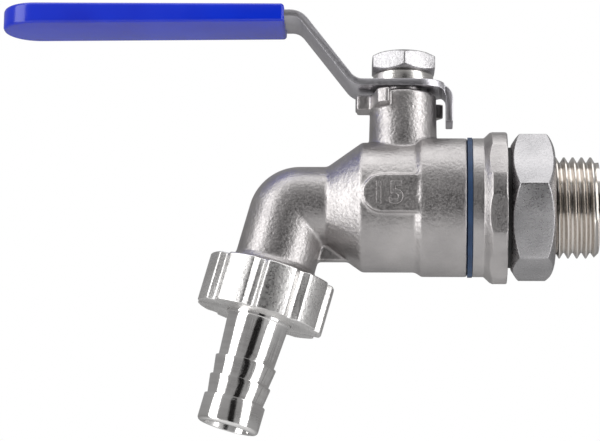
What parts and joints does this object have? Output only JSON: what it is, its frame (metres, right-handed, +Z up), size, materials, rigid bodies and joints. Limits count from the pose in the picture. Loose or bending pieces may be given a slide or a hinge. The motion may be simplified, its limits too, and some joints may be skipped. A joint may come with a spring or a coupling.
{
  "type": "weldless ball valve",
  "caption": "Half-inch stainless bib tap with a quarter-turn ball, blue lever, union-nut hose tail and a lock nut and gasket for clamping through a vessel wall.",
  "frame": {"origin": "centre of the inlet nipple's outer end face, on the bore axis", "axes": "+X along the bore, out of the inlet; +Z up along the stem, towards the lever; the open lever and the spout lie towards -X"},
  "size_m": [0.1253, 0.032, 0.0904],
  "materials": {
    "cast_steel": "satin",
    "turned_steel": "satin",
    "nut_steel": "satin",
    "strap_steel": "satin",
    "polished_steel": "polished",
    "ptfe": "matt",
    "blue_ring": "satin",
    "blue_vinyl": "gloss",
    "black_rubber": "matt"
  },
  "bodies": {
    "valve": {"valve_body": "cast_steel", "end_cap": "cast_steel", "seal_ring": "blue_ring", "inlet_seat": "ptfe", "outlet_seat": "ptfe", "thrust_washer": "ptfe", "stem_packing": "ptfe", "gland": "turned_steel", "inlet_nipple": "turned_steel", "inlet_gasket": "black_rubber", "lock_nut": "nut_steel"},
    "handle": {"ball": "polished_steel", "stem": "turned_steel", "lever": "strap_steel", "lever_grip": "blue_vinyl", "lock_washer": "turned_steel", "stem_nut": "nut_steel"},
    "tail": {"hose_tail": "polished_steel", "outlet_washer": "black_rubber"},
    "union": {"union_nut": "cast_steel"}
  },
  "joints": [
    {"name": "lever_turn", "type": "hinge", "parent": "valve", "child": "handle", "pos_m": [-0.04045, 0, 0], "axis": [0, 0, -1], "range_deg": [0, 90]},
    {"name": "tail_slide", "type": "slide", "parent": "valve", "child": "tail", "axis": [-0.2639, 0, -0.9646], "range_m": [0, 0.0055]},
    {"name": "union_turn", "type": "hinge", "parent": "tail", "child": "union", "pos_m": [-0.06848, 0, -0.01804], "axis": [-0.2639, 0, -0.9646], "range_deg": [0, 1080]}
  ],
  "couplings": [
    {"joint": "tail_slide", "follows": "union_turn", "m_per_rad": 0.0002887}
  ]
}
